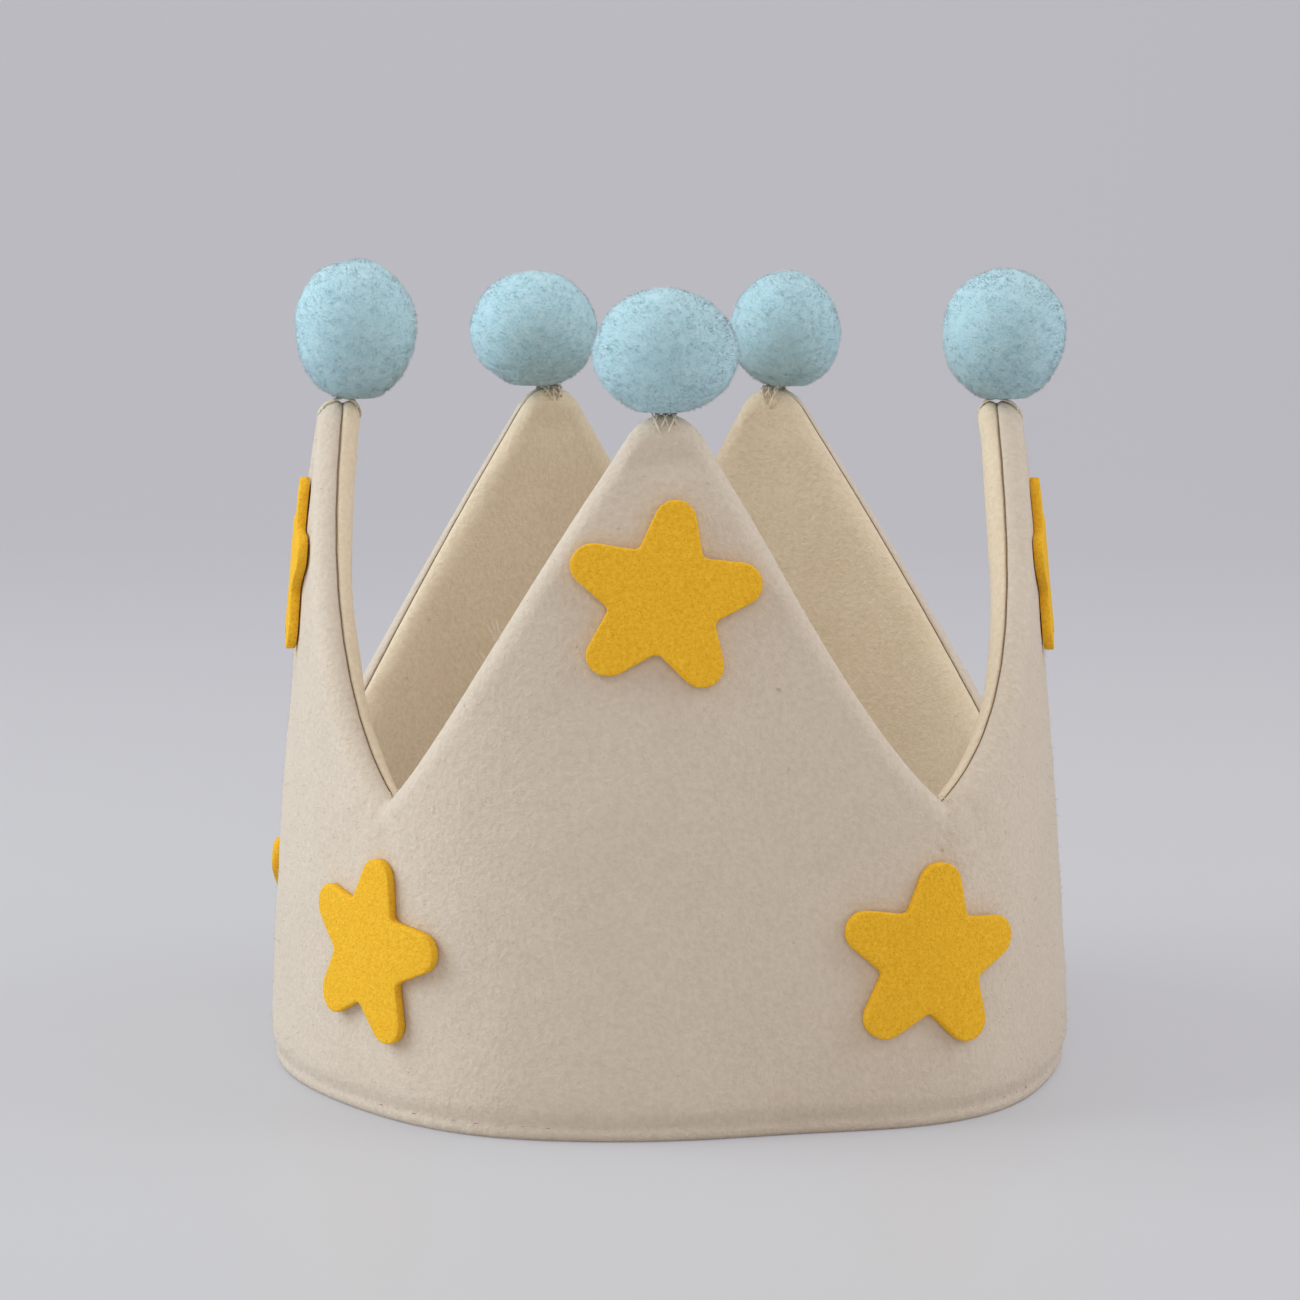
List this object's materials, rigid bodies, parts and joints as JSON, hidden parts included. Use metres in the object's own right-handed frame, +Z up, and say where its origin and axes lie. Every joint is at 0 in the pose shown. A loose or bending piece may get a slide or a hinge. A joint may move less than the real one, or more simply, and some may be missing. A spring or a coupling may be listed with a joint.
{
  "type": "felt party crown",
  "caption": "Padded felt party crown with triangular points, a pom-pom on each tip and flat foam stars round the band.",
  "frame": {"origin": "middle of the head opening at the level of the hem, on the surface that the crown stands on", "axes": "+Z up from the hem to the points, front of the crown towards -Y, +X to the right seen from the front"},
  "size_m": [0.1692, 0.1764, 0.1648],
  "materials": {
    "outer_felt": "short napped cream felt",
    "lining_felt": "short napped cream felt, a little warmer",
    "padding": "white wadding",
    "closure_strip": "woven hook and loop tape",
    "star_foam": "matt yellow foam sheet",
    "pompom_pile": "light blue cut pile"
  },
  "bodies": {
    "root": {"outer_felt": "outer_felt", "lining": "lining_felt", "padding": "padding", "hook_strip": "closure_strip", "loop_strip": "closure_strip", "star_upper_back_left": "star_foam", "star_upper_left": "star_foam", "star_upper_front": "star_foam", "star_upper_right": "star_foam", "star_upper_back_right": "star_foam", "star_lower_back_left": "star_foam", "star_lower_left": "star_foam", "star_lower_right": "star_foam", "star_lower_back_right": "star_foam", "star_lower_back": "star_foam", "pompom_back_left": "pompom_pile", "pompom_left": "pompom_pile", "pompom_front": "pompom_pile", "pompom_right": "pompom_pile", "pompom_back_right": "pompom_pile"}
  },
  "joints": []
}
